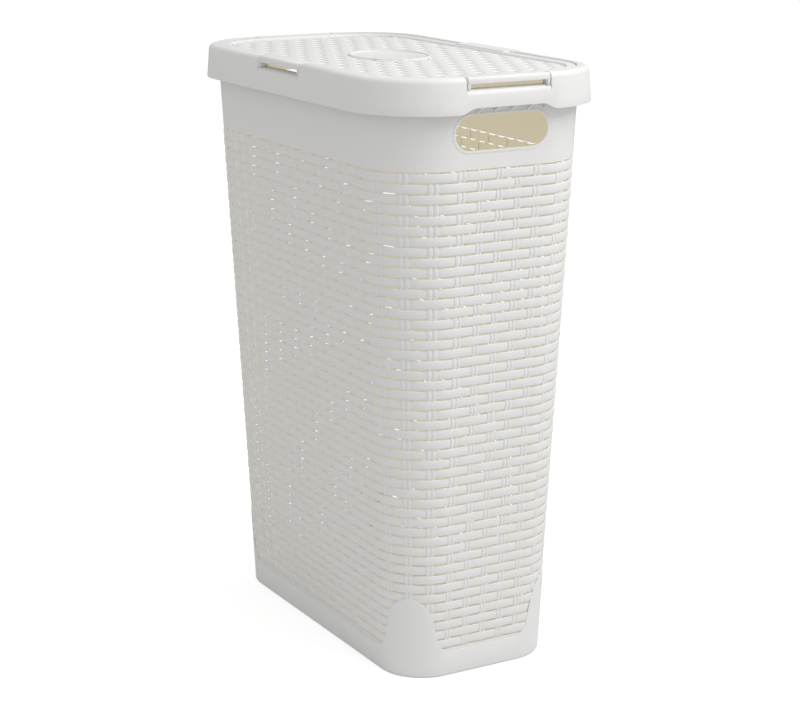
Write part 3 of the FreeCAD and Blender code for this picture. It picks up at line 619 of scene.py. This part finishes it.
def plastic(name, groups, finish, lid, reeded, painted_inside):
    """One of the hamper's white plastics."""
    material = bpy.data.materials.new(name)
    material.use_nodes = True
    tree = material.node_tree
    shader = tree.nodes["Principled BSDF"]
    surface = tree.nodes.new("ShaderNodeGroup")
    surface.node_tree = groups["surface"]
    surface.inputs["Grain"].default_value = finish.grain
    surface.inputs["Roughness"].default_value = finish.roughness
    if reeded:
        tree.links.new(reeding(tree, finish.reeding / 2), surface.inputs["Relief"])
    tone = tree.nodes.new("ShaderNodeGroup")
    tone.node_tree = groups["tone"]
    tone.inputs["Outside"].default_value = (*finish.white, 1)
    # Painted shade: the tub's plastics take the darker, warmer inside colour on inward faces; the others stay
    # white there.
    tone.inputs["Inside"].default_value = (*(finish.inside if painted_inside else finish.white), 1)
    if lid:
        tone.inputs["Outward"].default_value = (0, 0, 1)
    else:
        flat = tree.nodes.new("ShaderNodeVectorMath")
        flat.operation = "MULTIPLY"
        flat.inputs[1].default_value = (1, 1, 0)
        tree.links.new(tree.nodes.new("ShaderNodeTexCoord").outputs["Object"], flat.inputs[0])
        tree.links.new(flat.outputs["Vector"], tone.inputs["Outward"])
    tree.links.new(tone.outputs["Color"], shader.inputs["Base Color"])
    # Painted light: the tub's plastics emit a warm glow on inward faces.
    if painted_inside:
        tone.inputs["Glow"].default_value = (*finish.glow, 1)
        tree.links.new(tone.outputs["Glow"], shader.inputs["Emission Color"])
        shader.inputs["Emission Strength"].default_value = finish.glow_strength
    tree.links.new(surface.outputs["Normal"], shader.inputs["Normal"])
    tree.links.new(surface.outputs["Roughness"], shader.inputs["Roughness"])
    shader.inputs["IOR"].default_value = PLASTIC_IOR
    shader.inputs["Sheen Weight"].default_value = SHEEN
    shader.inputs["Sheen Roughness"].default_value = SHEEN_ROUGHNESS
    return material


def materials():
    """The hamper's materials by name, made when the first piece asks for them."""
    names = ("tub_white", "tub_reeded", "rim_white", "lid_white", "lid_reeded")
    if names[0] not in bpy.data.materials:
        finish = bpy.context.scene.hamper_finish
        groups = {"surface": moulded_surface_group(), "tone": inside_shade_and_glow_group()}
        for name in names:
            # Only the tub's plastics carry the painted inside shade and glow.
            painted_inside = name.startswith("tub")
            lid = name.startswith("lid")
            plastic(name, groups, finish, lid=lid, reeded=name.endswith("reeded"), painted_inside=painted_inside)
    return {name: bpy.data.materials[name] for name in names}


# ---- operators: one for each piece or group of like pieces, and one for the stage ----


def drop_hole(bm):
    """Lower the handle holes to where the moulding has them."""
    low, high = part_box("handle_lip_right")
    for vert in bm.verts:
        in_lip = abs(vert.co.y) < high.y and low.z < vert.co.z < high.z
        if in_lip and abs(vert.co.x) > low.x - LIP_REACH:
            vert.co.z -= HOLE_DROP


def trim_front_notch(bm):
    """Move the end walls of the front notch towards its middle."""
    near, far = FRONT_NOTCH_END
    skirt_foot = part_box("rim_collar")[0].z
    for vert in bm.verts:
        on_front = vert.co.z > skirt_foot + WELD and vert.co.y < -FOOT_OUTLINE.half_y
        if on_front and near < abs(vert.co.x) < far:
            vert.co.x -= FRONT_NOTCH_TRIM if vert.co.x > 0 else -FRONT_NOTCH_TRIM


class HAMPER_OT_plain_bands(bpy.types.Operator):
    """Build the plain band under the rim and the plain wall behind the foot band"""

    bl_idname = "hamper.plain_bands"
    bl_label = "Plain bands"

    def execute(self, context):
        weave = context.scene.hamper_weave
        white = materials()["tub_white"]
        upper = copy_of("tub_wall")
        drop_hole(upper)
        trim_front_notch(upper)
        cut_level(upper, weave.top + weave.slit / 2, keep_above=True)
        finish_piece("tub_upper_band", upper, "tub", [white], ["tub_wall"])
        lower = copy_of("tub_wall")
        cut_level(lower, weave.top - ROWS * weave.row_pitch - weave.slit / 2, keep_above=False)
        finish_piece("tub_foot_wall", lower, "tub", [white])
        return {"FINISHED"}


class HAMPER_OT_tub_strands(bpy.types.Operator):
    """Weave the level strands round the tub, row by row"""

    bl_idname = "hamper.tub_strands"
    bl_label = "Tub strands"

    def execute(self, context):
        weave = context.scene.hamper_weave
        half_height = (weave.row_pitch - weave.slit) / 2
        points = [(1 - depth * weave.strand_thickness, 0, across) for across, depth in strand_section()]
        ring = round_sweep(points, STAKES * STEPS_PER_STAKE)
        per_piece = ROWS // STRAND_PIECES
        for part in range(STRAND_PIECES):
            bm = bmesh.new()
            across_layer = bm.verts.layers.float.new("across")
            for row in range(part * per_piece, (part + 1) * per_piece):
                middle = weave.top - (row + 0.5) * weave.row_pitch
                for vert in add_copy(bm, ring):
                    x, y, across = vert.co
                    stake = atan2(y, x) / tau * STAKES
                    outward = strand_depth(weave, stake, row) + hypot(x, y) - 1
                    vert[across_layer] = across
                    vert.co = on_tub(weave, stake, middle + across * half_height, outward)
            bmesh.ops.recalc_face_normals(bm, faces=bm.faces)
            finish_piece(f"tub_strands_{part + 1}", bm, "tub", [materials()["tub_reeded"]])
        return {"FINISHED"}


class HAMPER_OT_tub_stakes(bpy.types.Operator):
    """Weave the upright stakes, each a pair of reeds, in and out of the strands"""

    bl_idname = "hamper.tub_stakes"
    bl_label = "Tub stakes"

    def execute(self, context):
        weave = context.scene.hamper_weave
        points = [(across, -depth * weave.stake_thickness, 0) for across, depth in stake_section()]
        upright = straight_sweep(points, (0, 0, 1 / STEPS_PER_ROW), ROWS * STEPS_PER_ROW)
        for name, first in (("tub_stakes_even", 0), ("tub_stakes_odd", 1)):
            bm = bmesh.new()
            for stake in range(first, STAKES, 2):
                for vert in add_copy(bm, upright):
                    across, depth, down = vert.co
                    row = min(int(down + WELD), ROWS - 1)
                    within = down - row
                    outward = stake_depth(weave, stake, row, within) + depth
                    height = weave.top - down * weave.row_pitch
                    vert.co = on_tub(weave, stake + across * weave.stake_share, height, outward)
            bmesh.ops.recalc_face_normals(bm, faces=bm.faces)
            finish_piece(name, bm, "tub", [materials()["tub_white"]])
        return {"FINISHED"}


def long_ribs():
    """The ribs between skirt and wall: each runs further down along the wall than along the skirt."""
    low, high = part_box("rim_gussets")
    middle = (low.z + high.z) / 2
    bm = copy_of("rim_gussets")
    wall = min(abs(vert.co.x) for vert in bm.verts)
    reach = high.x - wall
    for vert in bm.verts:
        vert.co.y *= RIB_SPREAD
        if vert.co.z < middle:
            vert.co.z -= RIB_DROP * (1 - (abs(vert.co.x) - wall) / reach)
    return bm


class HAMPER_OT_tub_trim(bpy.types.Operator):
    """Finish the rim, its ribs, the handle lips, the foot band and the floor"""

    bl_idname = "hamper.tub_trim"
    bl_label = "Rim, lips, foot band and floor"

    def execute(self, context):
        NODES["tub_floor"].material_slots[0].material = materials()["tub_white"]
        white = [materials()["rim_white"]]
        rim = soft_copy("rim_collar")
        trim_front_notch(rim)
        finish_piece("rolled_rim", rim, "tub", white, ["rim_collar"])
        finish_piece("foot_band", soft_copy("base_band"), "tub", white, ["base_band"])
        for side, sink in (("left", LIP_SINK), ("right", -LIP_SINK)):
            node = f"handle_lip_{side}"
            ring = soft_copy(node)
            bmesh.ops.translate(ring, verts=ring.verts, vec=(sink, 0, -HOLE_DROP))
            finish_piece(f"handle_ring_{side}", ring, "tub", white, [node])
        finish_piece("rim_ribs", long_ribs(), "tub", white, ["rim_gussets"])
        return {"FINISHED"}


def spans(limit, hole, overlap):
    """The stretches of a line from -limit to limit, less a hole in its middle."""
    if hole <= overlap:
        return [(-limit - overlap, limit + overlap)]
    return [(-limit - overlap, overlap - hole), (hole - overlap, limit + overlap)]


def oval_reach(along, across, offset):
    """Half the oval plate's size at an offset from its middle, or zero past its end."""
    return along * sqrt(max(1 - (offset / across) ** 2, 0))


def line_positions(pitch, limit):
    """Places a pitch apart, centred, within a limit each way."""
    count = int(limit / pitch)
    return [pitch * index for index in range(-count, count + 1)]


class HAMPER_OT_lid_weave(bpy.types.Operator):
    """Weave the lid's strands and stakes up to the border and round the oval plate"""

    bl_idname = "hamper.lid_weave"
    bl_label = "Lid weave"

    def execute(self, context):
        lid = context.scene.hamper_lid
        half_width = (lid.strand_pitch - lid.slit) / 2
        section = strand_section()
        bm = bmesh.new()
        across_layer = bm.verts.layers.float.new("across")
        last_strand = PANEL_OUTLINE.half_y - half_width + lid.overlap
        for y in line_positions(lid.strand_pitch, last_strand):
            row = round(y / lid.strand_pitch)
            hole = oval_reach(OVAL_HIGH.x, OVAL_HIGH.y, y)
            for start, stop in spans(PANEL_OUTLINE.half_length_at(y), hole, lid.overlap):
                steps = max(2, ceil((stop - start) / lid.stake_pitch * STEPS_PER_STAKE))
                points = [(start, across, -depth * lid.thickness) for across, depth in section]
                for vert in add_copy(bm, straight_sweep(points, ((stop - start) / steps, 0, 0), steps)):
                    x, across, depth = vert.co
                    from_front = abs((x / lid.stake_pitch + row + 1) % 2 - 1)
                    rise = (1 - (1 - from_front) ** LID_STRAND_FULLNESS) * lid.relief
                    vert[across_layer] = across
                    vert.co = (x, y + across * half_width, PANEL_HIGH.z - lid.relief + rise + depth)
        bmesh.ops.recalc_face_normals(bm, faces=bm.faces)
        reeded = [materials()["lid_reeded"]]
        finish_piece("lid_strands", bm, "lid", reeded, ["lid_panel"])
        bm = bmesh.new()
        for x in line_positions(lid.stake_pitch, PANEL_OUTLINE.half_x - lid.stake_width / 2):
            stake = round(x / lid.stake_pitch)
            hole = oval_reach(OVAL_HIGH.y, OVAL_HIGH.x, x)
            for start, stop in spans(PANEL_OUTLINE.half_width_at(x), hole, lid.overlap):
                steps = max(2, ceil((stop - start) / lid.strand_pitch * STEPS_PER_ROW))
                points = [(across, start, -depth * lid.thickness) for across, depth in stake_section()]
                for vert in add_copy(bm, straight_sweep(points, (0, (stop - start) / steps, 0), steps)):
                    across, y, depth = vert.co
                    rise = (1 + cos(pi * (y / lid.strand_pitch + stake))) / 2 * lid.relief
                    height = PANEL_HIGH.z - lid.relief + rise + depth
                    vert.co = (x + across * lid.stake_width / 2, y, height)
        bmesh.ops.recalc_face_normals(bm, faces=bm.faces)
        finish_piece("lid_stakes", bm, "lid", [materials()["lid_white"]])
        return {"FINISHED"}


def rounded_bar(bm, section, along, start, stop, corner):
    """Add a straight bar with a section of (across, height) points, one of which runs as a round edge."""

    def place(across, height):
        return (start, across, height) if along == 0 else (across, start, height)

    step = (stop - start, 0, 0) if along == 0 else (0, stop - start, 0)
    bar = bmesh.new()
    bar.from_mesh(straight_sweep([place(*point) for point in section], step, 1))
    across_axis = 1 - along
    at_corner = [
        edge
        for edge in bar.edges
        if all(hypot(v.co[across_axis] - corner[0], v.co.z - corner[1]) < WELD for v in edge.verts)
    ]
    bmesh.ops.bevel(
        bar,
        geom=at_corner,
        offset=TAB_ROUND,
        segments=TAB_ROUND_STEPS,
        profile=0.5,
        affect="EDGES",
        material=-1,
    )
    soften(bar)
    bmesh.ops.recalc_face_normals(bar, faces=bar.faces)
    bm.from_mesh(mesh_of(bar))


def flush_tab(node):
    """A hooked tab whose top runs level from the lid's border to the rim, with a leg at each end."""
    low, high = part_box(node)
    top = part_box("rim_collar")[1].z
    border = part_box("lid_border")[1].z
    along = 0 if high.x - low.x > high.y - low.y else 1
    across = 1 - along
    face, seat = high[across], low[across]
    if high[across] <= -low[across]:
        face, seat = seat, face
    inward = -1 if face > 0 else 1
    wall = face + inward * TAB_WALL
    leg_back = face + inward * TAB_LEG_DEPTH
    end = high[along] + TAB_WIDEN - (FRONT_NOTCH_TRIM if along == 0 else 0)
    foot = low.z + SLOT_HEIGHT
    hook = [
        (seat, border + TAB_STEP),
        (face, top),
        (face, foot),
        (wall, foot),
        (wall, top - TAB_PLATE),
        (seat, border - TAB_PLATE),
    ]
    leg_face = face + inward * TAB_LEG_INSET
    leg_top = top - TAB_LEG_INSET
    leg_border = border - TAB_LEG_INSET
    leg = [(leg_back, low.z), (leg_face, low.z), (leg_face, leg_top), (leg_back, leg_border)]
    bm = bmesh.new()
    rounded_bar(bm, hook, along, -end, end, (face, top))
    leg_end = end - TAB_LEG_INSET
    for start, stop in ((-leg_end, TAB_LEG_WIDTH - end), (end - TAB_LEG_WIDTH, leg_end)):
        rounded_bar(bm, leg, along, start, stop, (leg_face, leg_top))
    return bm


def low_hinge_tab():
    """The hinge tab with its top brought down level with the rim."""
    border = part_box("lid_border")[1].z
    bm = copy_of("lid_hinge_tab")
    for vert in bm.verts:
        if vert.co.z > border:
            vert.co.z = border + (vert.co.z - border) * HINGE_TAB_FLUSH
    return bm


class HAMPER_OT_lid_shell(bpy.types.Operator):
    """Finish the lid's border, oval plate, tabs and hinge pins"""

    bl_idname = "hamper.lid_shell"
    bl_label = "Lid border, oval plate, tabs and pins"

    def execute(self, context):
        white = materials()["lid_white"]
        NODES["hinge_pins"].material_slots[0].material = white
        finish_piece("hinge_tab", low_hinge_tab(), "lid", [white], ["lid_hinge_tab"])
        for name, node in (("lid_frame", "lid_border"), ("lid_oval", "lid_oval_plate")):
            finish_piece(name, soft_copy(node), "lid", [white], [node])
        for side in ("front", "left", "right"):
            node = f"lid_tab_{side}"
            finish_piece(f"finger_tab_{side}", flush_tab(node), "lid", [white], [node])
        return {"FINISHED"}


class HAMPER_OT_stage(bpy.types.Operator):
    """Set up the floor, the light and the camera"""

    bl_idname = "hamper.stage"
    bl_label = "Stage"

    def execute(self, context):
        settings = context.scene.hamper_stage
        self.make_floor(settings)
        self.make_light(context, settings)
        self.make_camera(context, settings)
        return {"FINISHED"}

    def make_floor(self, settings):
        bm = bmesh.new()
        bmesh.ops.create_circle(bm, cap_ends=True, segments=FLOOR_SIDES, radius=FLOOR_RADIUS)
        mesh = bpy.data.meshes.new("floor")
        bm.to_mesh(mesh)
        bm.free()
        material = bpy.data.materials.new("pale_floor")
        material.use_nodes = True
        shader = material.node_tree.nodes["Principled BSDF"]
        shader.inputs["Base Color"].default_value = (*settings.floor, 1)
        shader.inputs["Roughness"].default_value = FLOOR_ROUGHNESS
        shader.inputs["Specular IOR Level"].default_value = FLOOR_SHINE
        shader.inputs["Emission Color"].default_value = (1, 1, 1, 1)
        seen = material.node_tree.nodes.new("ShaderNodeLightPath").outputs["Is Camera Ray"]
        lift = math_node(material.node_tree, "MULTIPLY", seen, settings.floor_glow)
        material.node_tree.links.new(lift, shader.inputs["Emission Strength"])
        mesh.materials.append(material)
        floor = bpy.data.objects.new("floor", mesh)
        bpy.context.scene.collection.objects.link(floor)

    def make_light(self, context, settings):
        world = bpy.data.worlds.new("studio")
        context.scene.world = world
        world.use_nodes = True
        world.node_tree.nodes["Background"].inputs["Color"].default_value = (1, 1, 1, 1)
        world.node_tree.nodes["Background"].inputs["Strength"].default_value = settings.sky
        light = bpy.data.lights.new("key", "AREA")
        light.energy = settings.key
        light.size = KEY_SIZE
        key = bpy.data.objects.new("key", light)
        context.scene.collection.objects.link(key)
        key.location = KEY_PLACE
        key.rotation_euler = (Vector(KEY_PLACE) - Vector(KEY_AIM)).to_track_quat("Z", "Y").to_euler()
        context.scene.view_settings.view_transform = "Standard"

    def make_camera(self, context, settings):
        camera = bpy.data.objects.new("camera", bpy.data.cameras.new("camera"))
        context.scene.collection.objects.link(camera)
        level = cos(settings.elevation)
        back = Vector(
            (sin(settings.azimuth) * level, -cos(settings.azimuth) * level, sin(settings.elevation))
        )
        camera.location = Vector(settings.aim) + back * settings.distance
        camera.rotation_euler = back.to_track_quat("Z", "Y").to_euler()
        camera.data.lens = settings.lens
        context.scene.camera = camera


class HAMPER_PT_panel(bpy.types.Panel):
    """Lists the hamper's steps"""

    bl_idname = "HAMPER_PT_panel"
    bl_label = "Laundry hamper"
    bl_space_type = "VIEW_3D"
    bl_region_type = "UI"
    bl_category = "Hamper"

    def draw(self, context):
        for step in STEPS:
            self.layout.operator(step.bl_idname)


SETTINGS = {
    "hamper_weave": HamperWeave,
    "hamper_lid": HamperLid,
    "hamper_finish": HamperFinish,
    "hamper_stage": HamperStage,
}
STEPS = (
    HAMPER_OT_plain_bands,
    HAMPER_OT_tub_strands,
    HAMPER_OT_tub_stakes,
    HAMPER_OT_tub_trim,
    HAMPER_OT_lid_weave,
    HAMPER_OT_lid_shell,
    HAMPER_OT_stage,
)


def register():
    for cls in (*SETTINGS.values(), *STEPS, HAMPER_PT_panel):
        bpy.utils.register_class(cls)
    for name, cls in SETTINGS.items():
        setattr(bpy.types.Scene, name, bpy.props.PointerProperty(type=cls))


def unregister():
    for name in SETTINGS:
        delattr(bpy.types.Scene, name)
    for cls in (HAMPER_PT_panel, *reversed(STEPS), *reversed(SETTINGS.values())):
        bpy.utils.unregister_class(cls)


def main():
    register()
    for step in STEPS:
        group, name = step.bl_idname.split(".")
        getattr(getattr(bpy.ops, group), name)()


if __name__ == "__main__":
    main()
